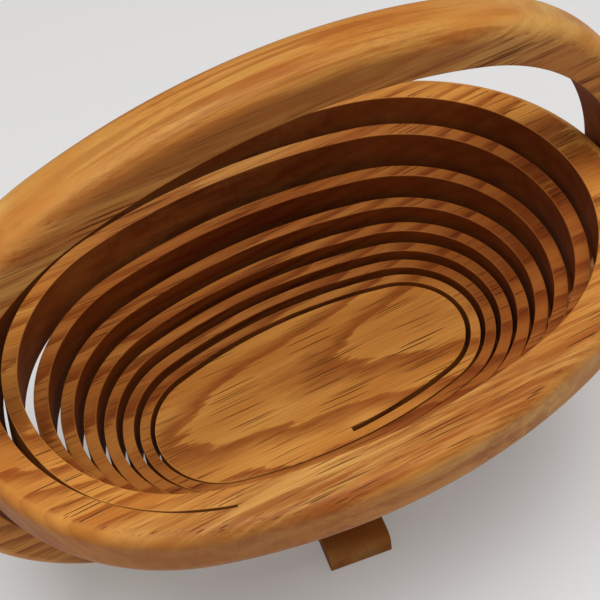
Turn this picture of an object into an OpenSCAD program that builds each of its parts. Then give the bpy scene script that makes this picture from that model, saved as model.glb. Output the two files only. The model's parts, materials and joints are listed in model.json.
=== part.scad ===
// Folding fruit basket sawn from one oak board: a spiral cut lets the middle drop into a bowl,
// and the outer ring turns on two end screws to be handle above and stand below.
// Millimetres, +Z up, +X along the pivot axis, origin on the floor under the middle of the foot.

/* [Board] */
// thickness of the board that every wooden piece is cut from
board_t = 19; // [17:0.5:21]
// rounding of the rim's two outer edges
rim_round = 7; // [5:0.5:7.5]
// rounding of the ring's two outer edges
ring_round = 6; // [4:0.5:8]

/* [Rim] */
// length of the rim between the two pivots
rim_length = 214; // [196:1:240]
// width of the rim across the pivots
rim_width = 153; // [140:1:166]
// how far the long sides swell out past a straight line between the round ends
side_swell = 6; // [4:0.5:9]
// width of the rim along its sides, where the spiral cut starts
rim_wall = 7.5; // [7:0.5:10]
// how much wider the rim is at its two ends
end_extra = 2.4; // [1:0.2:4]

/* [Spiral cut] */
// width of the saw cut between one turn and the next
cut_width = 1.5; // [1.2:0.1:1.8]
// how far the long sides of the cut swell out past a straight line between its round ends
cut_swell = 4.2; // [3.6:0.1:5.4]
// how far the middle of the cut lies to the right of the middle of the rim
cut_shift = 1.6; // [0:0.2:2.4]
// step from turn to turn beside the rim
pitch_first = 6.4; // [6:0.1:6.6]
// step from turn to turn beside the bottom panel
pitch_last = 4.7; // [4.3:0.1:5]
// distance left of the cut's middle at which it leaves the rim
cut_start_x = 53; // [48:1:56]

/* [Bowl] */
// how far the bottom panel hangs below the rim
bowl_drop = 48.2; // [40:0.2:50]
// turns over which the fall of the strip eases off
drop_ease = 2.6; // [2.4:0.1:3.6]

/* [Ring] */
// saw cut between the rim and the ring
ring_gap = 1.2; // [1:0.1:1.6]
// width of the ring from its inner to its outer edge
ring_width = 13.5; // [12:0.5:16]

/* [Pivots] */
// diameter of the pivot screws and of the foot screw
screw_d = 4.5; // [4:0.1:5]
// diameter of the screw heads
head_d = 8.6; // [8:0.1:9]
// thickness of the washer between ring and rim
pivot_washer_t = 1.6; // [1.5:0.1:1.8]
// how far the pivot screws reach into the rim
screw_bite = 8.5; // [7:0.5:9]
// how far the foot screw reaches into the ring
foot_bite = 9; // [7:0.5:10]

/* [Foot] */
// length of the foot bar across the ring
foot_length = 66; // [56:1:76]
// width of the foot bar along the ring
foot_width = 22; // [18:1:26]
// thickness of the foot bar
foot_t = 9; // [8:0.5:12]
// rounding of the foot bar's upper end edges
foot_round = 4; // [2:0.5:5]
// how far the foot stands from square across the ring
foot_turn = 8; // [0:1:12]

/* [Hidden] */
$fn = 96;
oak = [0.74, 0.48, 0.22];
brass = [0.80, 0.64, 0.32];
// the strip is built as half-turns, and its last turn runs round the bottom panel
half_turns = 14;
last_turn = half_turns / 2;
mid_panel_turn = last_turn + 0.5;
// degrees between two points of a saw cut, and flats in the rounding of an edge
arc_step = 5;
round_steps = 8;
// gap between two half-turns, so that their end faces never rub
join_gap = 0.2;
// the oval's side arcs are slimmer by seam_step and run seam_lap degrees into its end arcs
seam_step = 0.05;
seam_lap = 0.3;
// flats on the ring for the foot and on the rim for the pivot washers
seat_cut = 0.6;
spot_cut = 0.3;
// washers, screw heads and screw points
foot_washer_t = 1;
foot_washer_d = 14;
pivot_washer_d = 12;
spot_d = pivot_washer_d + 0.6;
bore_clear = 0.05;
head_t = 3;
head_room = 0.4;
head_depth = 4;
slot_w = 1.2;
point_d = 1.2;
point_len = 3;
// how far a drill or a cut runs past what it has to clear
drill_over = 1;
// an oval has two end arcs and two side arcs that meet smoothly: radius of the side arcs,
// from half the length, half the width and how far the sides swell
function side_arc(l, w, swell) = (l * l + w * w - 2 * l * (w - swell)) / (2 * swell);
// the rim's outer edge
half_len = rim_length / 2;
half_wid = rim_width / 2;
end_radius = half_wid - side_swell;
side_radius = side_arc(half_len, half_wid, side_swell);
end_x = half_len - end_radius;
side_y = side_radius - half_wid;
meet = atan2(side_y, end_x);
// the oval that the saw cut keeps its distance from
cut_half_len = half_len - end_extra;
cut_end_radius = half_wid - cut_swell;
cut_side_radius = side_arc(cut_half_len, half_wid, cut_swell);
cut_end_x = cut_half_len - cut_end_radius;
cut_side_y = cut_side_radius - half_wid;
cut_meet = atan2(cut_side_y, cut_end_x);
// heights, from the floor up
ring_out = ring_gap + ring_width;
seat_z = foot_t + foot_washer_t;
pivot_z = seat_z - seat_cut + half_wid + ring_out;
rim_top = pivot_z + board_t / 2;
// places along the pivot axis
rim_seat_x = half_len - spot_cut;
ring_seat_x = rim_seat_x + pivot_washer_t;
head_seat_x = half_len + ring_out - head_depth;
// width of the band that the rim is cut from, wider than any wall that the cut leaves
rim_band = rim_wall + end_extra + cut_shift + 1.2 * pitch_first;
// turns between the front of the basket and the place where the cut starts
start_turn = asin(cut_start_x / (cut_side_radius - rim_wall)) / 360;

// inward distance of the cut's outer edge from its oval, after s turns
function cut_at(s) =
    rim_wall + pitch_first * s + (pitch_last - pitch_first) * s * s / (2 * mid_panel_turn);
// the cut runs clockwise from the front, seen from above
function facing(s) = -90 - 360 * s;
// point of the cut's oval whose normal points along angle f, moved inward by d
function oval_pt(f, d) =
    let (c = cos(f), n = sin(f), at_end = atan2(abs(n), abs(c)) < cut_meet)
    at_end
        ? [sign(c) * cut_end_x + (cut_end_radius - d) * c, (cut_end_radius - d) * n]
        : [(cut_side_radius - d) * c, -sign(n) * cut_side_y + (cut_side_radius - d) * n];
// turn at which half-turn k begins, and how far the strip has fallen there
function turn_at(k) = k == 0 ? start_turn : k / 2;
function fall(s) = bowl_drop * (1 - exp(-max(0, s - start_turn) / drop_ease))
    / (1 - exp(-(last_turn - start_turn) / drop_ease));
// middle of the strip across Y where half-turn k begins, with the board lying flat
function flat_y(k) =
    let (s = turn_at(k))
    oval_pt(facing(s), (cut_at(s) + cut_width + cut_at(s + 1)) / 2)[1];
// tilt of half-turn k about X, so that the strip falls the right amount over it
function tilt(k) =
    let (rise = fall(turn_at(k)) - fall(turn_at(k + 1)))
    asin(rise / (flat_y(k + 1) - flat_y(k)));
// where the start of half-turn k has moved to, as [y, z] of the middle of the strip
starts = [for (k = 0, y = flat_y(0), z = -board_t / 2; k <= half_turns;
    y = y + cos(tilt(k)) * (flat_y(k + 1) - flat_y(k)),
    z = z + sin(tilt(k)) * (flat_y(k + 1) - flat_y(k)),
    k = k + 1) [y, z]];
// edge of one stretch of the cut as a list of points
function edge(s0, s1, shift, d) =
    let (n = round(360 * (s1 - s0) / arc_step))
    [for (i = [0:n]) let (s = s0 + (s1 - s0) * i / n) oval_pt(facing(s), cut_at(s + shift) + d)];
// points kept on one side of the plane x = 0, half a joint gap away from it
function keep_side(pts, side) =
    [for (p = pts) [side < 0 ? min(p[0], -join_gap / 2) : max(p[0], join_gap / 2), p[1]]];
function back_to_front(pts) = [for (i = [len(pts) - 1:-1:0]) pts[i]];

// section of a band: width w, height t, outer corners rounded by r in small steps, outer edge at x = 0
module band_section(w, t, r) {
    lower = [for (i = [0:round_steps]) let (g = 90 * i / round_steps)
        [-r + r * sin(g), -t / 2 + r - r * cos(g)]];
    upper = [for (i = [0:round_steps]) let (g = 90 * i / round_steps)
        [-r + r * cos(g), t / 2 - r + r * sin(g)]];
    polygon(concat([[-w, -t / 2]], lower, upper, [[-w, t / 2]]));
}

// band that follows the oval, its outer edge moved out by grow;
// the side arcs are a hair slimmer and run a little way into the end arcs, so that all four join
module oval_band(grow, w, t, r) {
    for (side = [0, 180]) {
        rotate([0, 0, side]) translate([end_x, 0, 0]) rotate([0, 0, -meet])
            rotate_extrude(angle = 2 * meet)
                translate([end_radius + grow, 0]) band_section(w, t, r);
        rotate([0, 0, side]) translate([0, -side_y, 0]) rotate([0, 0, meet - seam_lap])
            rotate_extrude(angle = 180 - 2 * meet + 2 * seam_lap)
                translate([side_radius + grow - seam_step, 0])
                    band_section(w - 2 * seam_step, t - 2 * seam_step, r);
    }
}

// outline of one half-turn of the strip, board flat; the first begins where the cut leaves the rim
module half_turn_outline(k) {
    side = k % 2 == 0 ? -1 : 1;
    outer = edge(k / 2, (k + 1) / 2, 0, cut_width);
    inner = edge(k / 2, (k + 1) / 2, 1, 0);
    intersection() {
        polygon(keep_side(concat(outer, back_to_front(inner)), side));
        if (k == 0) {
            translate([-rim_length, -rim_width])
                square([rim_length - cut_start_x - join_gap / 2, 2 * rim_width]);
            translate([-rim_length, 0]) square([rim_length, rim_width]);
        }
        else {
            square(2 * rim_length, center = true);
        }
    }
}

// one half-turn of the strip, tilted as it hangs
module half_turn(k) {
    color(oak)
        translate([cut_shift, starts[k][0], rim_top + starts[k][1]]) rotate([tilt(k), 0, 0])
            translate([0, -flat_y(k), -board_t / 2])
                linear_extrude(board_t) half_turn_outline(k);
}

// pan head screw along +Z with its head on top, head seat at z = 0, reaching down by reach
module pan_screw(reach) {
    difference() {
        union() {
            cylinder(d = head_d, h = head_t);
            translate([0, 0, point_len - reach])
                cylinder(d = screw_d, h = reach - point_len + head_t / 2);
            translate([0, 0, -reach]) cylinder(d1 = point_d, d2 = screw_d, h = point_len);
        }
        translate([-head_d, -slot_w / 2, head_t - slot_w]) cube([2 * head_d, slot_w, head_t]);
    }
}

module ring() {
    color(oak) difference() {
        translate([0, 0, pivot_z]) rotate([90, 0, 0])
            oval_band(ring_out, ring_width, board_t, ring_round);
        for (side = [0, 180]) {
            translate([0, 0, pivot_z]) rotate([0, 0, side]) rotate([0, 90, 0]) {
                translate([0, 0, half_len]) cylinder(d = screw_d + 2 * bore_clear, h = 2 * ring_out);
                translate([0, 0, half_len]) cylinder(d = spot_d, h = ring_seat_x - half_len);
                translate([0, 0, head_seat_x])
                    cylinder(d = head_d + 2 * head_room, h = head_depth + drill_over);
            }
        }
        translate([-half_len, -board_t, 0]) cube([rim_length, 2 * board_t, seat_z]);
        cylinder(d = screw_d + 2 * bore_clear, h = seat_z + foot_bite + drill_over);
    }
}

// outline of the root that stays joined to the rim, from the front to the start of the cut
module strip_root() {
    reach = 2 * start_turn;
    intersection() {
        polygon(concat(edge(0, reach, 0, -rim_wall / 2), back_to_front(edge(0, reach, 1, 0))));
        translate([join_gap / 2 - cut_start_x, -rim_width])
            square([2 * cut_start_x, rim_width]);
    }
}

module rim() {
    color(oak) difference() {
        translate([0, 0, pivot_z]) oval_band(0, rim_band, board_t, rim_round);
        translate([cut_shift, 0, rim_top - board_t - drill_over])
            linear_extrude(board_t + 2 * drill_over) difference() {
                polygon(edge(0, 1, 0, 0));
                strip_root();
            }
        for (side = [0, 180]) {
            translate([0, 0, pivot_z]) rotate([0, 0, side]) rotate([0, 90, 0]) {
                translate([0, 0, half_len - screw_bite - drill_over / 2])
                    cylinder(d = screw_d + 2 * bore_clear, h = 2 * screw_bite);
                translate([0, 0, rim_seat_x]) cylinder(d = spot_d, h = rim_wall);
            }
        }
    }
}

module strip_01() { half_turn(0); }
module strip_02() { half_turn(1); }
module strip_03() { half_turn(2); }
module strip_04() { half_turn(3); }
module strip_05() { half_turn(4); }
module strip_06() { half_turn(5); }
module strip_07() { half_turn(6); }
module strip_08() { half_turn(7); }
module strip_09() { half_turn(8); }
module strip_10() { half_turn(9); }
module strip_11() { half_turn(10); }
module strip_12() { half_turn(11); }
module strip_13() { half_turn(12); }
module strip_14() { half_turn(13); }

// bottom panel, level, with the last step of the spiral at the front
module panel() {
    around = edge(last_turn, last_turn + 1, 0, cut_width);
    last = around[len(around) - 1];
    first = around[0];
    color(oak)
        translate([cut_shift, 0, rim_top + starts[half_turns][1] - board_t / 2])
            linear_extrude(board_t) polygon(concat(
                [[-join_gap / 2, first[1]]],
                [for (i = [1:len(around) - 1]) around[i]],
                [[-join_gap / 2, last[1]]]));
}

// foot bar, turned by foot_turn from square across the ring
module foot() {
    color(oak) rotate([0, 0, -foot_turn]) difference() {
        translate([-foot_width / 2, 0, 0]) rotate([90, 0, 90]) linear_extrude(foot_width) {
            translate([-foot_length / 2, 0]) square([foot_length, foot_t - foot_round]);
            translate([-foot_length / 2 + foot_round, 0])
                square([foot_length - 2 * foot_round, foot_t]);
            for (side = [-1, 1]) {
                translate([side * (foot_length / 2 - foot_round), foot_t - foot_round])
                    circle(foot_round);
            }
        }
        translate([0, 0, -drill_over])
            cylinder(d = screw_d + 2 * bore_clear, h = foot_t + 2 * drill_over);
        translate([0, 0, -drill_over])
            cylinder(d = head_d + 2 * head_room, h = head_depth + drill_over);
    }
}

module pivot_screw(side) {
    color(brass) translate([0, 0, pivot_z]) rotate([0, 0, side]) rotate([0, 90, 0])
        translate([0, 0, head_seat_x]) pan_screw(head_seat_x - half_len + screw_bite);
}
module pivot_screw_left() { pivot_screw(180); }
module pivot_screw_right() { pivot_screw(0); }

// flat washer lying on z = 0
module washer(d, t) {
    difference() {
        cylinder(d = d, h = t);
        translate([0, 0, -drill_over])
            cylinder(d = screw_d + 2 * bore_clear, h = t + 2 * drill_over);
    }
}

module pivot_washer(side) {
    color(brass) translate([0, 0, pivot_z]) rotate([0, 0, side]) rotate([0, 90, 0])
        translate([0, 0, rim_seat_x]) washer(pivot_washer_d, pivot_washer_t);
}
module pivot_washer_left() { pivot_washer(180); }
module pivot_washer_right() { pivot_washer(0); }

module foot_screw() {
    color(brass) translate([0, 0, head_depth]) rotate([180, 0, 0])
        pan_screw(seat_z - head_depth + foot_bite);
}

module foot_washer() {
    color(brass) translate([0, 0, foot_t]) washer(foot_washer_d, foot_washer_t);
}

ring();
rim();
strip_01();
strip_02();
strip_03();
strip_04();
strip_05();
strip_06();
strip_07();
strip_08();
strip_09();
strip_10();
strip_11();
strip_12();
strip_13();
strip_14();
panel();
foot();
pivot_screw_left();
pivot_screw_right();
pivot_washer_left();
pivot_washer_right();
foot_screw();
foot_washer();
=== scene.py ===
# %% [markdown]
# # A folding fruit basket, sawn from one oak board
#
# One spiral saw cut lets the middle of the board drop into a bowl. An outer ring, cut from the same
# board, turns on two end screws: the half above the rim is the handle, the half below is the stand.
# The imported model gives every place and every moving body, so the lesson starts by loading it.

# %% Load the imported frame
import json
import math

import bmesh
import bpy
import numpy as np
from mathutils import Matrix, Vector


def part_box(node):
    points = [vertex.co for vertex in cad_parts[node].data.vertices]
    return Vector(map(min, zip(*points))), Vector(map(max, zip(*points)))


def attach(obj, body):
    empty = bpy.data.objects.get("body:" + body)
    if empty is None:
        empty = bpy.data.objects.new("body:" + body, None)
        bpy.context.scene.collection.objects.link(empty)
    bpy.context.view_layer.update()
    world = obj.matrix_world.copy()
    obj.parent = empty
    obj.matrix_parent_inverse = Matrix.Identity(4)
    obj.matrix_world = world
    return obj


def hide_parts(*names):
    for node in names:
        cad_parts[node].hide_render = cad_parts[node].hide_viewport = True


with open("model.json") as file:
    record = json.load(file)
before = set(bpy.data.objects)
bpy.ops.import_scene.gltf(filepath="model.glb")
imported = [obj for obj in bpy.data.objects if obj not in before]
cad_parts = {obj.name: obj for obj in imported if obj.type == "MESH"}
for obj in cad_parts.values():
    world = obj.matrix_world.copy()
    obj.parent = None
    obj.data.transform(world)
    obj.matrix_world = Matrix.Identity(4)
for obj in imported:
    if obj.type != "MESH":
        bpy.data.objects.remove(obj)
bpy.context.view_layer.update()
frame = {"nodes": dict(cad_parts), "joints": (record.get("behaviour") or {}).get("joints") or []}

# %% [markdown]
# ## The board and its saw cuts
#
# Everything wooden follows an oval: two end arcs and two flatter side arcs that meet smoothly. The ring
# and the rim's outer edge share one, and the spiral cut has a slightly shorter one of its own.
# A place on the board is named by the way the oval's edge faces there and by how far in from that edge
# it lies. Written like that, the rim, the strip, the panel and the ring are all the same few lines of
# arithmetic with other insets.

# %% Sizes of the board and of the cuts
MM = 0.001
BOARD_T = 19 * MM
RIM_LENGTH = 214 * MM
RIM_WIDTH = 153 * MM
SIDE_SWELL = 6 * MM
RIM_WALL = 7.5 * MM
RIM_ROUND = 7 * MM
END_EXTRA = 2.4 * MM
CUT_SWELL = 4.2 * MM
CUT_SHIFT = 1.6 * MM
SAW_CUT = 1.5 * MM
PITCH_FIRST = 6.4 * MM
PITCH_LAST = 4.7 * MM
CUT_START_X = 53 * MM
RING_GAP = 1.2 * MM
RING_WIDTH = 13.5 * MM
RING_ROUND = 6 * MM
HALF_TURNS = 14
LAST_TURN = HALF_TURNS / 2
MID_PANEL_TURN = LAST_TURN + 0.5

half_length, half_width = RIM_LENGTH / 2, RIM_WIDTH / 2
print("board", round(RIM_LENGTH / MM), "by", round(RIM_WIDTH / MM), "mm inside the ring")


# %% Two ovals
class Oval:
    """End arcs and flatter side arcs; swell is how much the sides bulge beyond the end arcs."""

    def __init__(self, half_length, half_width, swell, shift=0.0):
        self.end_radius = half_width - swell
        self.side_radius = (half_length**2 + half_width**2 - 2 * half_length * self.end_radius) / (2 * swell)
        self.end_x = half_length - self.end_radius
        self.side_y = self.side_radius - half_width
        self.meet = math.atan2(self.side_y, self.end_x)
        self.shift = shift

    def place(self, angle, inset):
        """The flat place where the edge faces this angle, moved in by inset."""
        c, s = math.cos(angle), math.sin(angle)
        if math.atan2(abs(s), abs(c)) < self.meet:
            radius, x, y = self.end_radius - inset, math.copysign(self.end_x, c), 0.0
        else:
            radius, x, y = self.side_radius - inset, 0.0, -math.copysign(self.side_y, s)
        return self.shift + x + radius * c, y + radius * s


board_edge = Oval(half_length, half_width, SIDE_SWELL)
cut_line = Oval(half_length - END_EXTRA, half_width, CUT_SWELL, CUT_SHIFT)
start_turn = math.asin(CUT_START_X / (cut_line.side_radius - RIM_WALL)) / math.tau
print("end arcs", round(board_edge.end_radius / MM, 1), "mm,",
      "side arcs", round(board_edge.side_radius / MM, 1), "mm")


# %% Along the spiral
def facing(turn):
    """The spiral runs clockwise from the front, seen from above."""
    return -math.pi / 2 - math.tau * turn


def cut_inset(turn):
    """How far in from the rim's outer edge the saw cut runs after so many turns."""
    return RIM_WALL + PITCH_FIRST * turn + (PITCH_LAST - PITCH_FIRST) * turn**2 / (2 * MID_PANEL_TURN)


print("strip width at the rim", round((cut_inset(1) - cut_inset(0) - SAW_CUT) / MM, 2), "mm")

# %% [markdown]
# ## How the strip hangs
#
# In the real basket the strip is one bending piece of oak. The frame has it as fourteen stiff half-turns,
# each on a hinge that the record places. The tilt of a half-turn is the slope from its own hinge to the
# next one, so nothing has to be measured again. Where two half-turns meet, the looks are eased from one
# tilt to the other over a short stretch, and the seam disappears into one smooth ribbon.

# %% Read the hinges from the frame
joints = {joint["name"]: joint for joint in frame["joints"]}
pivot_z = joints["basket_tip"]["pos_m"][2]
panel_low, panel_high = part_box("panel")
panel_z = (panel_low[2] + panel_high[2]) / 2


def begin_turn(k):
    return start_turn if k == 0 else k / 2


def middle_y(k):
    """The middle of the strip across Y where half-turn k begins, board flat."""
    turn = begin_turn(k)
    inset = (cut_inset(turn) + SAW_CUT + cut_inset(turn + 1)) / 2
    return cut_line.place(facing(turn), inset)[1]


flat_middles = [middle_y(k) for k in range(HALF_TURNS + 1)]
hinges = [joints[f"strip_{k + 1:02d}_tilt"]["pos_m"][1:] for k in range(HALF_TURNS)]
ends = hinges[1:] + [[None, panel_z]]
tilts = []
for k in range(HALF_TURNS):
    rise = ends[k][1] - hinges[k][1]
    tilts.append(math.asin(rise / (flat_middles[k + 1] - flat_middles[k])))
print("tilts in degrees:", [round(math.degrees(t), 2) for t in tilts])


# %% Hang a flat place
RIM, PANEL = -1, HALF_TURNS


def carried(k, x, y, h):
    """Where the flat place (x, y), h above mid-board, lies when half-turn k, rim or panel carries it."""
    if k == RIM:
        return np.array((x, y, pivot_z + h))
    if k == PANEL:
        return np.array((x, y, panel_z + h))
    (hinge_y, hinge_z), tilt = hinges[k], tilts[k]
    reach = y - flat_middles[k]
    return np.array((
        x,
        hinge_y + math.cos(tilt) * reach - math.sin(tilt) * h,
        hinge_z + math.sin(tilt) * reach + math.cos(tilt) * h,
    ))


EASE_TURN = 0.04


def smooth(value):
    value = min(1.0, max(0.0, value))
    return value * value * (3 - 2 * value)


def hung(k, turn, x, y, h):
    """Half-turn k with its two ends eased into its neighbours."""
    before, after = begin_turn(k), begin_turn(k + 1)
    reach_in = EASE_TURN if k == 0 else 2 * EASE_TURN
    reach_out = EASE_TURN if k == HALF_TURNS - 1 else 2 * EASE_TURN
    share_in = 1 - smooth((turn - before) / reach_in + (0 if k == 0 else 0.5))
    share_out = smooth((turn - after) / reach_out + (1 if k == HALF_TURNS - 1 else 0.5))
    own = 1 - share_in - share_out
    return (
        own * carried(k, x, y, h)
        + share_in * carried(k - 1, x, y, h)
        + share_out * carried(k + 1, x, y, h)
    )


print("the panel hangs", round((pivot_z - panel_z) / MM, 1), "mm below the rim")

# %% [markdown]
# ## Oak, as a shader node group
#
# Red oak shows three things: growth rings, which become long arches in the middle of a flat-sawn face and
# straight streaks towards its edges; open pores, which show as thin dark dashes along the grain; and a fine
# fibre between them. A picture of wood, wrapped round each piece, would break off at every saw cut. So the
# group builds all three as a solid, in the coordinates of the flat board, and the grain runs on from the rim
# into the strip and the panel as it did before the saw went through. Each mesh carries those coordinates in
# an attribute called board. The grain runs along X, and the middle of the tree lay below the board and came
# a little nearer to it towards the right, which is what closes the arches at their left ends. Inside the
# group all lengths are in millimetres.


# %% Helpers for node trees
def add(tree, kind, settings=None, **inputs):
    """Adds a node, sets its own settings and fills or links its inputs by name."""
    node = tree.nodes.new(kind)
    for key, value in (settings or {}).items():
        setattr(node, key, value)
    for key, value in inputs.items():
        socket = node.inputs[int(key[1:])] if key[0] == "_" else node.inputs[key.replace("_", " ")]
        if isinstance(value, bpy.types.NodeSocket):
            tree.links.new(value, socket)
        else:
            socket.default_value = value
    return node


def maths(tree, operation, a, b=0.0):
    return add(tree, "ShaderNodeMath", {"operation": operation}, _0=a, _1=b).outputs[0]


def stretched_noise(tree, vector, stretch, detail=2.0, roughness=0.5):
    """Noise on mm coordinates, where stretch is how many cells there are per mm along X, Y and Z."""
    scaled = add(tree, "ShaderNodeVectorMath", {"operation": "MULTIPLY"}, _0=vector, _1=stretch)
    noise = add(tree, "ShaderNodeTexNoise", None, Vector=scaled.outputs[0], Scale=1.0,
                Detail=detail, Roughness=roughness)
    return noise.outputs["Fac"]


def ramp(tree, value, *stops):
    """A colour ramp from (place, grey) or (place, colour) stops."""
    node = add(tree, "ShaderNodeValToRGB", None, Fac=value)
    elements = node.color_ramp.elements
    while len(elements) < len(stops):
        elements.new(0.5)
    for element, (place, colour) in zip(elements, stops):
        element.position = place
        element.color = (colour, colour, colour, 1) if isinstance(colour, float) else (*colour, 1)
    return node.outputs["Color"]


def mix(tree, share, a, b, blend="MIX"):
    node = add(tree, "ShaderNodeMix", {"data_type": "RGBA", "blend_type": blend})
    for socket, value in ((node.inputs[0], share), (node.inputs[6], a), (node.inputs[7], b)):
        if isinstance(value, bpy.types.NodeSocket):
            tree.links.new(value, socket)
        else:
            socket.default_value = (*value, 1) if isinstance(value, tuple) else value
    return node.outputs[2]


def in_mm(tree, vector):
    return add(tree, "ShaderNodeVectorMath", {"operation": "SCALE"}, _0=vector, Scale=1 / MM).outputs[0]


def product(tree, first, *others):
    for other in others:
        first = maths(tree, "MULTIPLY", first, other)
    return first


def swing(tree, place, cells, reach, detail, roughness=0.5):
    """Noise that swings to both sides of 0, by up to half of reach."""
    noise = stretched_noise(tree, place, cells, detail, roughness)
    return product(tree, maths(tree, "SUBTRACT", noise, 0.5), reach)


# %% Growth rings
PITH_Y = 1.0
PITH_DEPTH = 36.2
PITH_RISE = 0.1
RING_AREA = 484.0
SWAY_CELLS, SWAY_REACH = (0.016, 0.034, 0.03), 9.0
JAG_CELLS, JAG_REACH = (0.06, 0.55, 0.55), 2.4


def growth_rings(tree, place):
    """Counts rings outwards from the middle of the tree. Each adds the same area, so outer ones are thin."""
    parts = add(tree, "ShaderNodeSeparateXYZ", None, Vector=place).outputs
    depth = maths(tree, "SUBTRACT", PITH_DEPTH, product(tree, parts["X"], PITH_RISE))
    sway = swing(tree, place, SWAY_CELLS, SWAY_REACH, detail=2.0)
    jags = swing(tree, place, JAG_CELLS, JAG_REACH, detail=3.0, roughness=0.6)
    across = maths(tree, "SUBTRACT", parts["Y"], PITH_Y)
    above = maths(tree, "ADD", maths(tree, "ADD", parts["Z"], depth), maths(tree, "ADD", sway, jags))
    area = maths(tree, "ADD", product(tree, across, across), product(tree, above, above))
    return maths(tree, "DIVIDE", area, RING_AREA)


# %% Early wood
EARLY_IN_RING = ((0.0, 0.80), (0.10, 1.0), (0.28, 0.60), (0.52, 0.0), (0.96, 0.0), (1.0, 0.80))
RIM_STREAK_CELLS = (0.016, 0.30, 0.10)
RING_STREAK_CELLS = (0.012, 0.08, 0.50)
STREAK_EDGE = ((0.46, 0.0), (0.58, 1.0))
OUT_TO_STREAKS = ((0.40, 0.0), (0.64, 1.0))
OUT_TO_RING = ((0.76, 0.0), (0.79, 1.0))
OUT_STREAK_DEPTH = ((0.74, 0.90), (0.82, 0.70))
EARLY_ON_END_GRAIN = 0.25


def early_wood(tree, place, out, lengthwise):
    """The brown, porous part of each ring: arches in the middle of the board and streaks outside."""
    arches = ramp(tree, maths(tree, "FRACT", growth_rings(tree, place)), *EARLY_IN_RING)
    rim_streaks = stretched_noise(tree, place, RIM_STREAK_CELLS, 6.0, 0.7)
    ring_streaks = stretched_noise(tree, place, RING_STREAK_CELLS, 4.0, 0.6)
    streaks = mix(tree, ramp(tree, out, *OUT_TO_RING), rim_streaks, ring_streaks)
    streaks = product(tree, ramp(tree, streaks, *STREAK_EDGE), ramp(tree, out, *OUT_STREAK_DEPTH))
    early = mix(tree, ramp(tree, out, *OUT_TO_STREAKS), arches, streaks)
    shown = maths(tree, "ADD", product(tree, lengthwise, 1 - EARLY_ON_END_GRAIN), EARLY_ON_END_GRAIN)
    return product(tree, early, shown)


# %% Pores
LONG_PORES = {"cells": (0.034, 1.45, 1.45), "core": 0.27, "edge": 0.35, "kept": 0.42}
SHORT_PORES = {"cells": (0.08, 2.1, 2.1), "core": 0.26, "edge": 0.36, "kept": 0.42}
KEPT_STEP = 0.01
FAINTEST_PORE = 0.55
WANDER_CELLS, WANDER_REACH = (0.02, 0.05, 0.05), 4.0
PORE_CROWDING = ((0.0, 0.06), (0.8, 0.80))
OUT_OPEN_PORES = ((0.74, 1.0), (0.80, 0.40))
FACE_OPEN_PORES = ((0.68, 0.25), (0.88, 1.0))


def pore_dashes(tree, place, cells, core, edge, kept):
    """Thin dashes along X, at most one in each cell; kept is the share of cells that have one."""
    scaled = add(tree, "ShaderNodeVectorMath", {"operation": "MULTIPLY"}, _0=place, _1=cells)
    drawn = add(tree, "ShaderNodeTexVoronoi", {"feature": "F1"}, Vector=scaled.outputs[0], Scale=1.0).outputs
    draw = add(tree, "ShaderNodeSeparateColor", None, Color=drawn["Color"]).outputs
    strength = ramp(tree, draw["Red"], (kept, 1.0), (kept + KEPT_STEP, 0.0))
    depth = maths(tree, "ADD", product(tree, draw["Green"], 1 - FAINTEST_PORE), FAINTEST_PORE)
    return product(tree, ramp(tree, drawn["Distance"], (core, 1.0), (edge, 0.0)), strength, depth)


def open_pores(tree, place, out, near_face, early, lengthwise):
    """Long pores everywhere and short ones in the early wood, fewer on the ring and on sanded edges."""
    wander = swing(tree, place, WANDER_CELLS, WANDER_REACH, detail=1.0)
    shift = add(tree, "ShaderNodeCombineXYZ", None, X=0.0, Y=wander, Z=0.0).outputs[0]
    along = add(tree, "ShaderNodeVectorMath", {"operation": "ADD"}, _0=place, _1=shift).outputs[0]
    short_pores = product(tree, pore_dashes(tree, along, **SHORT_PORES), ramp(tree, early, *PORE_CROWDING))
    pores = maths(tree, "MAXIMUM", pore_dashes(tree, along, **LONG_PORES), short_pores)
    left_open = product(tree, lengthwise, ramp(tree, out, *OUT_OPEN_PORES))
    return product(tree, pores, left_open, ramp(tree, near_face, *FACE_OPEN_PORES))


# %% Colours of the oak
GOLD = (0.735, 0.325, 0.064)
SAPWOOD = (0.660, 0.352, 0.092)
AMBER = (0.580, 0.275, 0.060)
HONEY = (0.500, 0.158, 0.022)
RUSSET = (0.265, 0.050, 0.006)
PORE_BROWN = (0.085, 0.019, 0.003)
# The brown that painted shade multiplies into the oak's colour.
SHADE_BROWN = (0.60, 0.45, 0.42)
OUT_PALE_WOOD = ((0.48, GOLD), (0.66, SAPWOOD), (0.76, SAPWOOD), (0.82, AMBER))
BLOTCH_CELLS, BLOTCH_EDGE = (0.012, 0.09, 0.09), ((0.38, 0.0), (0.62, 1.0))
THREADS = ((0.34, 0.34), (0.60, 0.0))
BLOTCH_SHARE, EARLY_SHARE, PORE_SHARE = 0.65, 0.78, 0.92


def oak_colour(tree, place, out, early, pores, fibre, lengthwise, oil):
    """From the palest wood to the darkest pores, each mixed over the one before, and painted shade over all.
    """
    blotch = ramp(tree, stretched_noise(tree, place, BLOTCH_CELLS, 3.0), *BLOTCH_EDGE)
    threads = product(tree, ramp(tree, fibre, *THREADS), lengthwise)
    colour = mix(tree, product(tree, blotch, BLOTCH_SHARE), ramp(tree, out, *OUT_PALE_WOOD), HONEY)
    colour = mix(tree, product(tree, early, EARLY_SHARE), colour, RUSSET)
    colour = mix(tree, threads, colour, RUSSET)
    colour = mix(tree, product(tree, pores, PORE_SHARE), colour, PORE_BROWN)
    return mix(tree, oil, colour, mix(tree, 1.0, colour, SHADE_BROWN, "MULTIPLY"))


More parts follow.
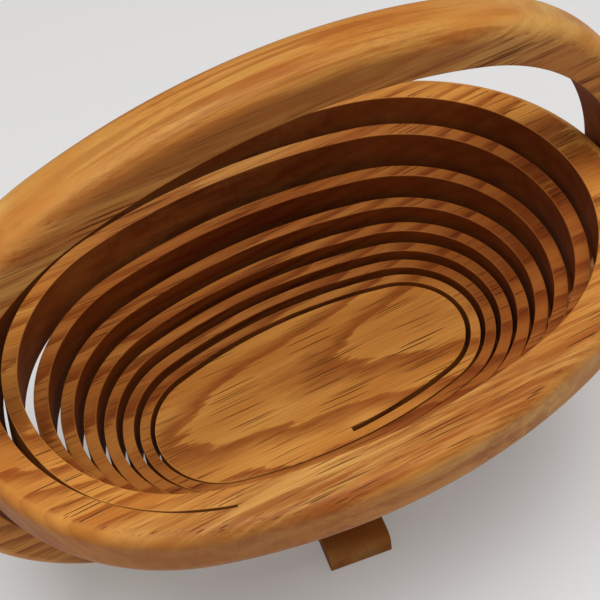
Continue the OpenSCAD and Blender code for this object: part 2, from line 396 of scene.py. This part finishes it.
# %% The oak grain group
FIBRE_CELLS = (0.03, 2.0, 2.0)
INTO_END_GRAIN = ((0.12, 1.0), (0.32, 0.06))
PER_100_MM, PER_10_MM = 0.01, 0.1
# The third input is how much painted shade a point gets.
GRAIN_INPUTS = {"Board": "NodeSocketVector", "End Grain": "NodeSocketFloat", "Oil": "NodeSocketFloat"}
GRAIN_OUTPUTS = {"Color": "NodeSocketColor", "Pores": "NodeSocketFloat", "Fibre": "NodeSocketFloat"}


def oak_grain_group():
    tree = bpy.data.node_groups.new("oak grain", "ShaderNodeTree")
    for name, kind in GRAIN_INPUTS.items():
        tree.interface.new_socket(name, in_out="INPUT", socket_type=kind)
    for name, kind in GRAIN_OUTPUTS.items():
        tree.interface.new_socket(name, in_out="OUTPUT", socket_type=kind)
    given = add(tree, "NodeGroupInput").outputs
    place = in_mm(tree, given["Board"])
    parts = add(tree, "ShaderNodeSeparateXYZ", None, Vector=place).outputs
    out = product(tree, maths(tree, "ABSOLUTE", parts["Y"]), PER_100_MM)
    near_face = product(tree, maths(tree, "ABSOLUTE", parts["Z"]), PER_10_MM)
    lengthwise = ramp(tree, given["End Grain"], *INTO_END_GRAIN)
    early = early_wood(tree, place, out, lengthwise)
    pores = open_pores(tree, place, out, near_face, early, lengthwise)
    fibre = stretched_noise(tree, place, FIBRE_CELLS, 3.0, 0.6)
    colour = oak_colour(tree, place, out, early, pores, fibre, lengthwise, given["Oil"])
    add(tree, "NodeGroupOutput", None, Color=colour, Pores=pores, Fibre=fibre)
    return tree


oak_grain = oak_grain_group()
print("oak grain group with", len(oak_grain.nodes), "nodes")

# %% [markdown]
# ## Three finishes on one wood
#
# The planed and sanded faces are oiled to a satin gold. The walls of the saw cuts soak up more oil and
# were never sanded, so they are darker and rougher, with faint upright lines from the blade. The foot's
# sanded top and ends are a little darker too: partly a darker finish, partly painted shade from the basket
# above them.
# All finishes place the same grain group and differ only in what they do with it. Where a face looks
# along the grain it is end grain, and there the oil has filled most of the pores. A second attribute says
# how much shade is painted into the colour at each point, as a deeper brown where less light falls.


# %% What every finish shares
OIL_SHEEN = (1.0, 0.88, 0.65, 1)
GRAIN_DEPTH = 0.15 * MM


def stored_board(tree):
    return add(tree, "ShaderNodeAttribute", {"attribute_name": "board"}).outputs["Vector"]


def looking_along_grain(tree):
    normal = add(tree, "ShaderNodeTexCoord").outputs["Normal"]
    return maths(tree, "ABSOLUTE", add(tree, "ShaderNodeSeparateXYZ", None, Vector=normal).outputs["X"])


def wood_material(name, shine, end_grain=None):
    """A material with the grain group in it. end_grain is 1 where a whole face counts as end grain."""
    material = bpy.data.materials.new(name)
    material.use_nodes = True
    tree = material.node_tree
    shader = tree.nodes["Principled BSDF"]
    shader.inputs["Specular Tint"].default_value = OIL_SHEEN
    shader.inputs["Specular IOR Level"].default_value = shine
    # Painted shade, stored on each point.
    oil = add(tree, "ShaderNodeAttribute", {"attribute_name": "oil"}).outputs["Fac"]
    grain = add(tree, "ShaderNodeGroup", {"node_tree": oak_grain}, Board=stored_board(tree), Oil=oil,
                End_Grain=looking_along_grain(tree) if end_grain is None else end_grain)
    return material, tree, shader, grain.outputs


def vary_roughness(tree, shader, value, least, most):
    rough = add(tree, "ShaderNodeMapRange", None, Value=value, To_Min=least, To_Max=most)
    tree.links.new(rough.outputs["Result"], shader.inputs["Roughness"])


def raise_surface(tree, shader, height, strength, depth):
    bump = add(tree, "ShaderNodeBump", None, Height=height, Strength=strength, Distance=depth)
    tree.links.new(bump.outputs["Normal"], shader.inputs["Normal"])


# %% Planed oak, sawn oak and end grain
FIBRE_RAISED, PORES_SUNK = 0.25, 0.5
SOAKED_WALL = (0.53, 0.41, 0.39)
# The foot's darker colour: partly its own finish, partly painted shade from the basket above it.
END_GRAIN_AND_SHADE = (0.78, 0.70, 0.76)
BLADE_CELLS = (1.1, 1.1, 0.03)
BLADE_LINES = ((0.60, 0.0), (0.78, 0.30))
BLADE_RAISED = 0.6


def planed_oak():
    material, tree, shader, grain = wood_material("planed oak", shine=0.16)
    tree.links.new(grain["Color"], shader.inputs["Base Color"])
    vary_roughness(tree, shader, grain["Pores"], least=0.48, most=0.75)
    sunk = product(tree, grain["Pores"], PORES_SUNK)
    height = maths(tree, "SUBTRACT", product(tree, grain["Fibre"], FIBRE_RAISED), sunk)
    raise_surface(tree, shader, height, strength=0.35, depth=GRAIN_DEPTH)
    return material


def sawn_oak():
    material, tree, shader, grain = wood_material("sawn oak", shine=0.15)
    blade = stretched_noise(tree, in_mm(tree, stored_board(tree)), BLADE_CELLS, 2.0)
    darkened = mix(tree, 1.0, grain["Color"], SOAKED_WALL, "MULTIPLY")
    lined = mix(tree, ramp(tree, blade, *BLADE_LINES), darkened, PORE_BROWN)
    tree.links.new(lined, shader.inputs["Base Color"])
    shader.inputs["Roughness"].default_value = 0.65
    height = product(tree, maths(tree, "SUBTRACT", blade, grain["Pores"]), BLADE_RAISED)
    raise_surface(tree, shader, height, strength=0.30, depth=GRAIN_DEPTH)
    return material


def end_grain_oak():
    """For the foot, whose grain does not run along X."""
    material, tree, shader, grain = wood_material("end grain oak", shine=0.15, end_grain=1.0)
    darkened = mix(tree, 1.0, grain["Color"], END_GRAIN_AND_SHADE, "MULTIPLY")
    tree.links.new(darkened, shader.inputs["Base Color"])
    shader.inputs["Roughness"].default_value = 0.6
    raise_surface(tree, shader, grain["Fibre"], strength=0.20, depth=GRAIN_DEPTH)
    return material


finishes = [planed_oak(), sawn_oak(), end_grain_oak()]
PLANED_SLOT, SAWN_SLOT, END_SLOT = 0, 1, 2
print("finishes:", ", ".join(finish.name for finish in finishes))

# %% [markdown]
# ## Making a wooden piece
#
# Rim, ring and strip are all made in the same way: a section is worked out at each step along the oval
# and neighbouring sections are joined with four-sided faces. Curves with a bevel object could do it too,
# but plain lists of points keep the board coordinates at hand for the grain. Holes and flats are cut with
# booleans while the piece is made, and the board coordinates are stored last, when every point is known.

# %% Cutters
DRILL_FACETS = 64


def cutter(work):
    mesh = bpy.data.meshes.new("cutter")
    work.to_mesh(mesh)
    work.free()
    tool = bpy.data.objects.new("cutter", mesh)
    bpy.context.scene.collection.objects.link(tool)
    return tool


def drill(radius, start, end):
    """A round cutter between two points."""
    start, end = Vector(start), Vector(end)
    work = bmesh.new()
    bmesh.ops.create_cone(work, cap_ends=True, segments=DRILL_FACETS, radius1=radius, radius2=radius,
                          depth=(end - start).length)
    turn = (end - start).to_track_quat("Z", "Y").to_matrix().to_4x4()
    bmesh.ops.transform(work, matrix=Matrix.Translation((start + end) / 2) @ turn, verts=work.verts)
    return cutter(work)


def plane_block(low, high):
    """A square cutter between two corners."""
    low, high = Vector(low), Vector(high)
    work = bmesh.new()
    bmesh.ops.create_cube(work, size=1.0)
    place = Matrix.Translation((low + high) / 2) @ Matrix.Diagonal((*(high - low), 1))
    bmesh.ops.transform(work, matrix=place, verts=work.verts)
    return cutter(work)


def cut_away(piece, tool):
    """Takes the cutter's shape out of the piece for good."""
    boolean = piece.modifiers.new("cut", "BOOLEAN")
    boolean.operation, boolean.solver, boolean.object = "DIFFERENCE", "EXACT", tool
    bpy.context.view_layer.update()
    shown = piece.evaluated_get(bpy.context.evaluated_depsgraph_get())
    shape = bpy.data.meshes.new_from_object(shown)
    piece.modifiers.remove(boolean)
    piece.data = shape
    bpy.data.objects.remove(tool)


# %% Sections and faces
EASE = 0.4 * MM
SHARP_ANGLE = math.radians(50)


def eased_corner(inset, height, into, down):
    """Three points round a corner: into and down are +1 or -1, the ways to the middle of the wood."""
    soft = EASE * (1 - math.sqrt(0.5))
    return [
        (inset, height + down * EASE),
        (inset + into * soft, height + down * soft),
        (inset + into * EASE, height),
    ]


def joined(sections, count, sawn_sides, closed):
    """Faces between sections of count points each; sawn_sides are the sides that the saw left."""
    faces, slots = [], []
    for i in range(sections if closed else sections - 1):
        a, b = i * count, (i + 1) % sections * count
        for j in range(count):
            n = (j + 1) % count
            faces.append((a + j, a + n, b + n, b + j))
            slots.append(SAWN_SLOT if j in sawn_sides else PLANED_SLOT)
    return faces, slots


# Stores how much painted shade each point gets.
def store_painted_shade(piece, shares):
    oil = piece.data.attributes.new("oil", "FLOAT", "POINT")
    oil.data.foreach_set("value", np.asarray(shares, np.float32))


def wooden_piece(name, places, faces, slots, board, cutters=()):
    """A mesh with its finishes. board is its flat places, or a function that gives one for a point."""
    mesh = bpy.data.meshes.new(name)
    mesh.from_pydata([tuple(p) for p in places], [], faces)
    for finish in finishes[:max(slots) + 1]:
        mesh.materials.append(finish)
    mesh.polygons.foreach_set("material_index", slots)
    work = bmesh.new()
    work.from_mesh(mesh)
    bmesh.ops.recalc_face_normals(work, faces=work.faces)
    work.to_mesh(mesh)
    work.free()
    piece = bpy.data.objects.new(name, mesh)
    bpy.context.scene.collection.objects.link(piece)
    for tool in cutters:
        cut_away(piece, tool)
    mesh = piece.data
    flat = board if isinstance(board, list) else [board(v.co) for v in mesh.vertices]
    stored = mesh.attributes.new("board", "FLOAT_VECTOR", "POINT")
    stored.data.foreach_set("vector", np.asarray(flat, np.float32).ravel())
    mesh.shade_smooth()
    mesh.set_sharp_from_angle(angle=SHARP_ANGLE)
    piece.modifiers.new("even light on flats", "WEIGHTED_NORMAL").keep_sharp = True
    return piece


# %% [markdown]
# ## The spiral strip
#
# Each half-turn of the strip is a ribbon a little over 4 mm wide and as deep as the board is thick.
# Its two long walls are saw cuts and its top and bottom are planed faces. A hanging strip also twists: its
# inner edge sinks, most of all in the first turns at the left end, which opens the cuts there. At its root
# the strip presses outwards a little and sags, so the first cut all but closes there.
# The strip is painted darker away from the rim and the panel, most of all at the right end: painted shade
# for the handle's shadow and the shade inside the bowl.
# One long ribbon would be simpler, but each half-turn moves with its own body, so each is its own mesh. Two
# neighbours share the same section where they meet, so the strip looks like the one piece it is.

# %% How the strip twists, sags and darkens
LEFT_END = 0.25
LEAN_LEFT, LEAN_RIGHT = math.radians(8.8), math.radians(2.5)
LEAN_FROM, LEAN_EASE = 0.12, 0.14
LEAN_FADE = 3.4
ROOT_SAG = 1.0 * MM
ROOT_CLOSING = 0.75 * MM
ROOT_FADE = 0.12
SAG_EASE = 0.05
# Where the strip's painted shade begins along the turns, and how fast it eases in and out.
SHADE_FROM, SHADE_EASE_IN, SHADE_EASE_OUT = 0.2, 0.5, 0.8
LESS_SHADE_LEFT = 0.3


def near_root(turn):
    """Is 1 along the front, from the strip's root on, and fades to 0 towards the left end."""
    return smooth((LEFT_END - turn) / ROOT_FADE)


def leftness(turn):
    """Is 1 at the left end of each turn and 0 at its right end."""
    return 0.5 + 0.5 * math.cos(math.tau * (turn - LEFT_END))


def leaning(turn, inset, h):
    """The section's point after the strip has twisted about its own middle and sagged at its root."""
    lean = LEAN_RIGHT + (LEAN_LEFT - LEAN_RIGHT) * leftness(turn)
    lean *= smooth((turn - LEAN_FROM) / LEAN_EASE) * smooth((LAST_TURN - turn) / LEAN_EASE)
    lean *= math.exp(-max(0.0, turn - LEFT_END) / LEAN_FADE)
    sag = ROOT_SAG * near_root(turn) * smooth((turn - start_turn) / SAG_EASE)
    middle = (cut_inset(turn) + SAW_CUT + cut_inset(turn + 1)) / 2
    w = inset - middle
    return middle + w * math.cos(lean) + h * math.sin(lean), h * math.cos(lean) - w * math.sin(lean) - sag


def strip_painted_shade(turn):
    """Painted shade: 0 where the strip leaves the rim and joins the panel, and between them most at the
    right end.
    """
    share = 1.0 - LESS_SHADE_LEFT * leftness(turn)
    return share * smooth((turn - SHADE_FROM) / SHADE_EASE_IN) * smooth((LAST_TURN - turn) / SHADE_EASE_OUT)


print("oil in the middle of each half-turn:", [round(strip_painted_shade(k / 2 + 0.25), 2) for k in range(HALF_TURNS)])

# %% Fourteen half-turns
top, bottom = BOARD_T / 2, -BOARD_T / 2
STEPS_PER_TURN = 360
STRIP_POINTS = 12
STRIP_SAWN_SIDES = {5, 11}


def strip_section(turn):
    outer, inner = cut_inset(turn) + SAW_CUT - ROOT_CLOSING * near_root(turn), cut_inset(turn + 1)
    return (
        eased_corner(outer, top, 1, -1)
        + eased_corner(inner, top, -1, -1)[::-1]
        + eased_corner(inner, bottom, -1, 1)
        + eased_corner(outer, bottom, 1, 1)[::-1]
    )


def half_turn(k):
    begin, end = begin_turn(k), begin_turn(k + 1)
    turns = np.linspace(begin, end, round((end - begin) * STEPS_PER_TURN) + 1)
    places, board = [], []
    for turn in turns:
        for inset, h in strip_section(turn):
            board.append((*cut_line.place(facing(turn), inset), h))
            leant, leant_h = leaning(turn, inset, h)
            places.append(hung(k, turn, *cut_line.place(facing(turn), leant), leant_h))
    faces, slots = joined(len(turns), STRIP_POINTS, STRIP_SAWN_SIDES, closed=False)
    last = (len(turns) - 1) * STRIP_POINTS
    faces += [tuple(range(STRIP_POINTS)), tuple(range(last, last + STRIP_POINTS))]
    slots += [SAWN_SLOT, SAWN_SLOT]
    node = f"strip_{k + 1:02d}"
    ribbon = wooden_piece(f"oak_{node}", places, faces, slots, board)
    store_painted_shade(ribbon, np.repeat([strip_painted_shade(turn) for turn in turns], STRIP_POINTS))
    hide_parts(node)
    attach(ribbon, node)
    return ribbon


ribbons = [half_turn(k) for k in range(HALF_TURNS)]
print(len(ribbons), "half-turns,", sum(len(r.data.vertices) for r in ribbons), "points")

# %% [markdown]
# ## Screws and washers
#
# The brass screws and washers stay as the CAD model has them, because their sizes are what matters about
# them. The holes in the wood are taken from their boxes. Brass that is handled dulls to a warm, finely
# scratched yellow, so the finish is a metal whose colour and roughness drift a little.

# %% Brass
BRASS_LIGHT = (0.62, 0.42, 0.15)
BRASS_DULL = (0.40, 0.25, 0.08)
TARNISH_CELLS, TARNISH_EDGE = (0.35, 0.35, 0.35), ((0.40, 0.0), (0.65, 1.0))
SCRATCH_CELLS = (3.0, 9.0, 3.0)
SCRATCH_DEPTH = 0.05 * MM


def worn_brass():
    material = bpy.data.materials.new("worn brass")
    material.use_nodes = True
    tree = material.node_tree
    shader = tree.nodes["Principled BSDF"]
    place = in_mm(tree, add(tree, "ShaderNodeTexCoord").outputs["Object"])
    tarnish = stretched_noise(tree, place, TARNISH_CELLS, 3.0)
    scratches = stretched_noise(tree, place, SCRATCH_CELLS, 2.0)
    colour = mix(tree, ramp(tree, tarnish, *TARNISH_EDGE), BRASS_LIGHT, BRASS_DULL)
    tree.links.new(colour, shader.inputs["Base Color"])
    vary_roughness(tree, shader, scratches, least=0.22, most=0.46)
    raise_surface(tree, shader, scratches, strength=0.15, depth=SCRATCH_DEPTH)
    shader.inputs["Metallic"].default_value = 1.0
    return material


brass = worn_brass()
brass_nodes = ["pivot_screw_left", "pivot_screw_right", "pivot_washer_left", "pivot_washer_right",
               "foot_screw", "foot_washer"]
for name in brass_nodes:
    node = frame["nodes"][name]
    node.data.materials.clear()
    node.data.materials.append(brass)
print("brass on", len(brass_nodes), "pieces")

# %% Hole sizes from the screws and washers
SCREW_RADIUS = 2.25 * MM
BORE_CLEAR = 0.05 * MM
HEAD_ROOM = 0.4 * MM
HEAD_T = 3 * MM
SPOT_ROOM = 0.3 * MM
FOOT_HEAD_DEPTH = 4 * MM
DRILL_OVER = 1 * MM

screw_low, screw_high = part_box("pivot_screw_right")
washer_low, washer_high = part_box("pivot_washer_right")
foot_screw_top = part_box("foot_screw")[1][2]
bore_radius = SCREW_RADIUS + BORE_CLEAR
head_radius = (screw_high[1] - screw_low[1]) / 2 + HEAD_ROOM
spot_radius = (washer_high[1] - washer_low[1]) / 2 + SPOT_ROOM
head_seat_x = screw_high[0] - HEAD_T
rim_seat_x, ring_seat_x = washer_low[0], washer_high[0]
print("head seat at x =", round(head_seat_x / MM, 1), "mm, washer from", round(rim_seat_x / MM, 1),
      "to", round(ring_seat_x / MM, 1), "mm")

# %% [markdown]
# ## The rim
#
# The rim is what is left outside the spiral cut. Its outer edges are rounded like a bread board, the upper
# one a little less than the lower one. Its inner wall is the cut itself, so it grows wider all the way
# round until it has the strip's root on it. There the first and the last section differ by one strip and
# one saw cut, and a small upright face closes the step. A boolean with a spiral cutter could make that wall
# too, but sections leave cleaner faces. A screw and a washer go into each end.

# %% The section of a band
ROUND_STEPS = 10


def rounding(radius):
    """Steps round a quarter circle: how far each lies from the two faces that meet at the edge."""
    quarter = np.linspace(0, math.pi / 2, ROUND_STEPS + 1)
    return [(radius * (1 - math.sin(g)), radius * (1 - math.cos(g))) for g in quarter]


def band_section(inner, outer, upper_radius, lower_radius):
    """An upright section from the inner wall, over the top and round the outer edges to the bottom."""
    upper = [(outer + a, top - b) for a, b in rounding(upper_radius)]
    lower = [(outer + b, bottom + a) for a, b in rounding(lower_radius)]
    return eased_corner(inner, bottom, -1, 1)[::-1] + eased_corner(inner, top, -1, -1) + upper + lower


# %% Rim with the root of the strip
INNER_POINTS = 6
RIM_CREST = 4.5 * MM
BAND_SAWN_SIDES = {2}
DRILL_BEYOND = 1.1


def rim_places(turn):
    places = []
    for j, (inset, h) in enumerate(band_section(cut_inset(turn), 0.0, RIM_CREST, RIM_ROUND)):
        oval = cut_line if j < INNER_POINTS else board_edge
        places.append(carried(RIM, *oval.place(facing(turn), inset), h))
    return places


def rim_piece():
    turns = np.linspace(start_turn, 1 + start_turn, STEPS_PER_TURN + 1)
    count = len(rim_places(0))
    places = [p for turn in turns[:-1] for p in rim_places(turn)]
    root = len(places)
    places += rim_places(turns[-1])[:INNER_POINTS]
    faces, slots = joined(STEPS_PER_TURN, count, BAND_SAWN_SIDES, closed=False)
    a = (STEPS_PER_TURN - 1) * count
    for j in range(INNER_POINTS - 1):
        faces.append((a + j, a + j + 1, root + j + 1, root + j))
        slots.append(SAWN_SLOT if j in BAND_SAWN_SIDES else PLANED_SLOT)
    for j in range(INNER_POINTS, count - 1):
        faces.append((a + j, a + j + 1, j + 1, j))
        slots.append(PLANED_SLOT)
    over = INNER_POINTS - 1
    faces.append((a + over, a + over + 1, over + 1, over, root + over))
    faces.append((a + count - 1, a, root, 0, count - 1))
    faces.append((*range(INNER_POINTS), *(root + j for j in reversed(range(INNER_POINTS)))))
    slots += [PLANED_SLOT, PLANED_SLOT, SAWN_SLOT]
    cutters = []
    for side in (-1, 1):
        beyond = side * half_length * DRILL_BEYOND
        cutters.append(drill(spot_radius, (side * rim_seat_x, 0, pivot_z), (beyond, 0, pivot_z)))
        cutters.append(drill(bore_radius, (side * screw_low[0], 0, pivot_z), (beyond, 0, pivot_z)))
    return wooden_piece("oak_rim", places, faces, slots, lambda p: (p[0], p[1], p[2] - pivot_z), cutters)


# %% Painted shade on the rim
LEFT_SHADE = 0.7
LEFT_SHADE_ABOVE, LEFT_SHADE_DEPTH = 1.5 * MM, 5 * MM
LEFT_SHADE_REACH = 60 * MM
WALL_FROM, WALL_EASE = 0.5, 0.4


def rim_painted_shade(point):
    """Painted shade: darkest on the inner wall and on the left end's side, below its crest."""
    p = point.co
    inwards = -point.normal.xy.dot(p.xy.normalized())
    side = smooth((pivot_z + top + LEFT_SHADE_ABOVE - p.z) / LEFT_SHADE_DEPTH)
    return max(LEFT_SHADE * side * smooth(-p.x / LEFT_SHADE_REACH), smooth((inwards - WALL_FROM) / WALL_EASE))


rim = rim_piece()
store_painted_shade(rim, [rim_painted_shade(v) for v in rim.data.vertices])
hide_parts("rim")
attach(rim, "basket")
print("rim with", len(rim.data.polygons), "faces")

# %% [markdown]
# ## The bottom panel
#
# The panel is the middle of the board, bounded by the last turn of the cut. Its outline steps at the
# front, where the end of the strip is still joined to it and the saw cut stops. A filled curve could make
# it, but outlines stacked in layers give it the same soft corners as the strip has.

# %% Panel
def panel_piece():
    turns = np.linspace(LAST_TURN, LAST_TURN + 1, STEPS_PER_TURN + 1)
    layers = eased_corner(0.0, top, 1, -1)[::-1] + eased_corner(0.0, bottom, 1, 1)
    count = len(turns)
    places = []
    for extra, h in layers:
        for turn in turns:
            x, y = cut_line.place(facing(turn), cut_inset(turn) + SAW_CUT + extra)
            places.append(carried(PANEL, x, y, h))
    faces, slots = joined(len(layers), count, (), closed=False)
    wall = slice(2 * count, 3 * count)
    slots[wall] = [SAWN_SLOT] * count
    faces += [tuple(range(count)), tuple(range(len(places) - count, len(places)))]
    slots += [PLANED_SLOT, PLANED_SLOT]
    return wooden_piece("oak_panel", places, faces, slots, lambda p: (p[0], p[1], p[2] - panel_z))


panel = panel_piece()
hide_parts("panel")
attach(panel, "panel")
print("panel", [round(v / MM, 1) for v in panel.dimensions], "mm")

# %% [markdown]
# ## The ring
#
# The ring was the outermost band of the board. It stands upright round the pivot axis, so its flat
# coordinates turn a quarter about X. It uses the rim's section with other sizes, because both are bands of
# one board. The screw heads sit in counterbores at its two ends, the washers sit in shallow spot faces
# inside, and a flat is planed underneath for the foot.

# %% Ring
def ring_piece():
    ring_out = RING_GAP + RING_WIDTH
    section = band_section(-RING_GAP, -ring_out, RING_ROUND, RING_ROUND)
    places = []
    for step in range(STEPS_PER_TURN):
        for inset, h in section:
            x, y = board_edge.place(facing((step + 0.5) / STEPS_PER_TURN), inset)
            places.append((x, -h, pivot_z + y))
    faces, slots = joined(STEPS_PER_TURN, len(section), BAND_SAWN_SIDES, closed=True)
    seat_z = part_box("ring")[0][2]
    cutters = [plane_block((-half_length, -BOARD_T, -BOARD_T), (half_length, BOARD_T, seat_z)),
               drill(bore_radius, (0, 0, 0), (0, 0, foot_screw_top + DRILL_OVER))]
    for side in (-1, 1):
        inside, beyond = side * (half_length - DRILL_OVER), side * (half_length + 2 * ring_out)
        cutters.append(drill(spot_radius, (inside, 0, pivot_z), (side * ring_seat_x, 0, pivot_z)))
        cutters.append(drill(head_radius, (side * head_seat_x, 0, pivot_z), (beyond, 0, pivot_z)))
        cutters.append(drill(bore_radius, (inside, 0, pivot_z), (beyond, 0, pivot_z)))
    return wooden_piece("oak_ring", places, faces, slots, lambda p: (p[0], p[2] - pivot_z, -p[1]), cutters)


# How much painted shade the ring's flat faces get, and where it begins.
FACE_SHADE = 0.35
FACE_SHADE_FROM, FACE_SHADE_EASE = 6 * MM, 3.5 * MM


def ring_painted_shade(p):
    """Painted shade on the two flat faces, which the light from above reaches only at a slant; none on the
    edge.
    """
    return FACE_SHADE * smooth((abs(p.y) - FACE_SHADE_FROM) / FACE_SHADE_EASE)


ring = ring_piece()
store_painted_shade(ring, [ring_painted_shade(v.co) for v in ring.data.vertices])
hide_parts("ring")
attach(ring, "stand")
print("ring with", len(ring.data.polygons), "faces")

# %% [markdown]
# ## The foot
#
# A short bar across the ring keeps the basket from falling over, and it swivels on one screw to lie along
# the ring when the basket is put away. Its upper end edges are rounded so they do not catch the fingers. A
# cube with a bevel would round every edge alike, so the bar's side view is drawn and pulled across instead.
# The bar is another piece of oak with the grain along its own length, so it gets its own place in the log.
# It is sanded over its top and round its ends, and its long sides have the darker finish of the saw cuts.
# The foot is darker than the rim all over, partly as painted shade from the basket above it.

# %% Foot bar
FOOT_LENGTH = 66 * MM
FOOT_WIDTH = 22 * MM
FOOT_T = 9 * MM
FOOT_ROUND = 4 * MM
FOOT_TURN = math.radians(-8)
FOOT_LOG_PLACE = Vector((40, 72, 21)) * MM
SIDEWAYS = 0.5


def foot_piece():
    half = FOOT_LENGTH / 2
    right = [(half - b, FOOT_T - a) for a, b in rounding(FOOT_ROUND)]
    left = [(-y, z) for y, z in reversed(right)]
    outline = [(-half, 0.0), (half, 0.0), *right, *left]
    count = len(outline)
    turn = Matrix.Rotation(FOOT_TURN, 3, "Z")
    places = [turn @ Vector((x, y, z)) for x in (-FOOT_WIDTH / 2, FOOT_WIDTH / 2) for y, z in outline]
    work = bmesh.new()
    points = [work.verts.new(p) for p in places]
    sides = [tuple(range(count)), tuple(range(count, 2 * count))]
    for face in joined(2, count, (), closed=False)[0] + sides:
        work.faces.new([points[i] for i in face])
    bmesh.ops.recalc_face_normals(work, faces=work.faces)
    corners = [e for e in work.edges if e.calc_face_angle() > SHARP_ANGLE]
    bmesh.ops.bevel(work, geom=corners, offset=EASE, segments=2, profile=0.5, affect="EDGES")
    work.verts.index_update()
    places = [v.co.copy() for v in work.verts]
    faces = [tuple(v.index for v in f.verts) for f in work.faces]
    at_side = [abs((turn.inverted() @ f.normal).x) > SIDEWAYS for f in work.faces]
    # The foot's darker finishes are partly painted shade from the basket above it.
    slots = [SAWN_SLOT if side else END_SLOT for side in at_side]
    work.free()
    cutters = [drill(bore_radius, (0, 0, -DRILL_OVER), (0, 0, FOOT_T + DRILL_OVER)),
               drill(head_radius, (0, 0, -DRILL_OVER), (0, 0, FOOT_HEAD_DEPTH))]

    def in_the_log(p):
        x, y, z = turn.inverted() @ p
        return Vector((y, x, z)) + FOOT_LOG_PLACE

    return wooden_piece("oak_foot", places, faces, slots, in_the_log, cutters)


foot = foot_piece()
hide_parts("foot")
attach(foot, "foot")
print("foot", [round(v / MM, 1) for v in foot.dimensions], "mm")

# %% [markdown]
# ## Floor, light and camera
#
# The basket stands on plain white paper under one wide, soft light that hangs nearly straight above it, so
# the upper faces are bright, the faces towards the camera are about half as bright, and a pale shadow lies
# underneath. An even, slightly warm sky fills the rest. The two together are set so that a level colour
# comes out about as it is written. What the camera sees of the paper glows a little by itself, which keeps
# the shadow pale without more light on the oak. The camera looks down from the front left, where the
# photograph was taken from, with a long lens.

# %% Paper floor
PAPER = (0.77, 0.77, 0.765)
SEEN_PAPER = (0.645, 0.645, 0.641)
PAPER_GLOW = 0.194
PAPER_REACH = 4.0
CLOUD = (0.3, 0.3, 0.3)
CLOUD_SHARE = 0.03


def paper_floor():
    mesh = bpy.data.meshes.new("paper floor")
    corners = [(x * PAPER_REACH, y * PAPER_REACH, 0) for x, y in ((-1, -1), (1, -1), (1, 1), (-1, 1))]
    mesh.from_pydata(corners, [], [(0, 1, 2, 3)])
    material = bpy.data.materials.new("paper")
    material.use_nodes = True
    tree = material.node_tree
    shader = tree.nodes["Principled BSDF"]
    where = add(tree, "ShaderNodeTexCoord").outputs["Object"]
    cloud = add(tree, "ShaderNodeTexNoise", None, Vector=where, Scale=3.0, Detail=2.0).outputs["Fac"]
    ray = add(tree, "ShaderNodeLightPath").outputs
    seen = maths(tree, "MAXIMUM", maths(tree, "MAXIMUM", ray["Is Camera Ray"], ray["Is Glossy Ray"]),
                 ray["Is Transmission Ray"])
    paper = mix(tree, seen, PAPER, SEEN_PAPER)
    clouded = mix(tree, product(tree, cloud, CLOUD_SHARE), paper, CLOUD)
    tree.links.new(clouded, shader.inputs["Base Color"])
    tree.links.new(product(tree, seen, PAPER_GLOW), shader.inputs["Emission Strength"])
    shader.inputs["Emission Color"].default_value = (1.0, 1.0, 1.0, 1)
    shader.inputs["Roughness"].default_value = 0.9
    shader.inputs["Specular IOR Level"].default_value = 0.1
    mesh.materials.append(material)
    floor = bpy.data.objects.new("paper_floor", mesh)
    bpy.context.scene.collection.objects.link(floor)
    return floor


floor = paper_floor()
print("paper", round(floor.dimensions.x, 1), "m wide")

# %% Soft light from above
SKY_SHARE = 0.23
SKY_WARMTH = (1.0, 0.90, 0.78, 1)
LAMP_SHARE = 0.81
LAMP_COOLNESS = (0.98, 1.0, 1.04)
LAMP_AT = Vector((-0.05, -0.22, 1.25))
LAMP_SIZE = 0.9
BASKET_MIDDLE = Vector((0, 0, 0.09))


def soft_light():
    world = bpy.data.worlds.new("even sky")
    world.use_nodes = True
    world.node_tree.nodes["Background"].inputs["Color"].default_value = SKY_WARMTH
    world.node_tree.nodes["Background"].inputs["Strength"].default_value = SKY_SHARE
    bpy.context.scene.world = world
    to_basket = BASKET_MIDDLE - LAMP_AT
    slant = -to_basket.normalized().z
    light = bpy.data.lights.new("wide lamp", "AREA")
    light.shape, light.size = "DISK", LAMP_SIZE
    light.color = LAMP_COOLNESS
    light.energy = LAMP_SHARE * math.pi**2 * (to_basket.length_squared + (LAMP_SIZE / 2) ** 2) / slant
    lamp = bpy.data.objects.new("wide lamp", light)
    lamp.location = LAMP_AT
    lamp.rotation_mode = "QUATERNION"
    lamp.rotation_quaternion = to_basket.to_track_quat("-Z", "Y")
    bpy.context.scene.collection.objects.link(lamp)
    return lamp


lamp = soft_light()
print("wide lamp", round(lamp.data.energy, 1), "W")

# %% Camera at the photograph's angle
CAMERA_AT = Vector((-95.74, -258.69, 416.60)) * MM
LOOKS_AT = Vector((-0.75, -2.85, 103.75)) * MM
CAMERA_ROLL = math.radians(-9.09)
SENSOR_MM, LENS_MM = 36.0, 84.16

lens = bpy.data.cameras.new("camera")
lens.sensor_width, lens.lens = SENSOR_MM, LENS_MM
lens.clip_start, lens.clip_end = 0.01, 20.0
camera = bpy.data.objects.new("camera", lens)
bpy.context.scene.collection.objects.link(camera)
camera.location = CAMERA_AT
camera.rotation_mode = "QUATERNION"
level = (LOOKS_AT - CAMERA_AT).to_track_quat("-Z", "Y")
camera.rotation_quaternion = level @ Matrix.Rotation(CAMERA_ROLL, 3, "Z").to_quaternion()
bpy.context.scene.camera = camera
bpy.context.scene.view_settings.view_transform = "Standard"
print("camera", round((LOOKS_AT - CAMERA_AT).length / MM), "mm from the basket")
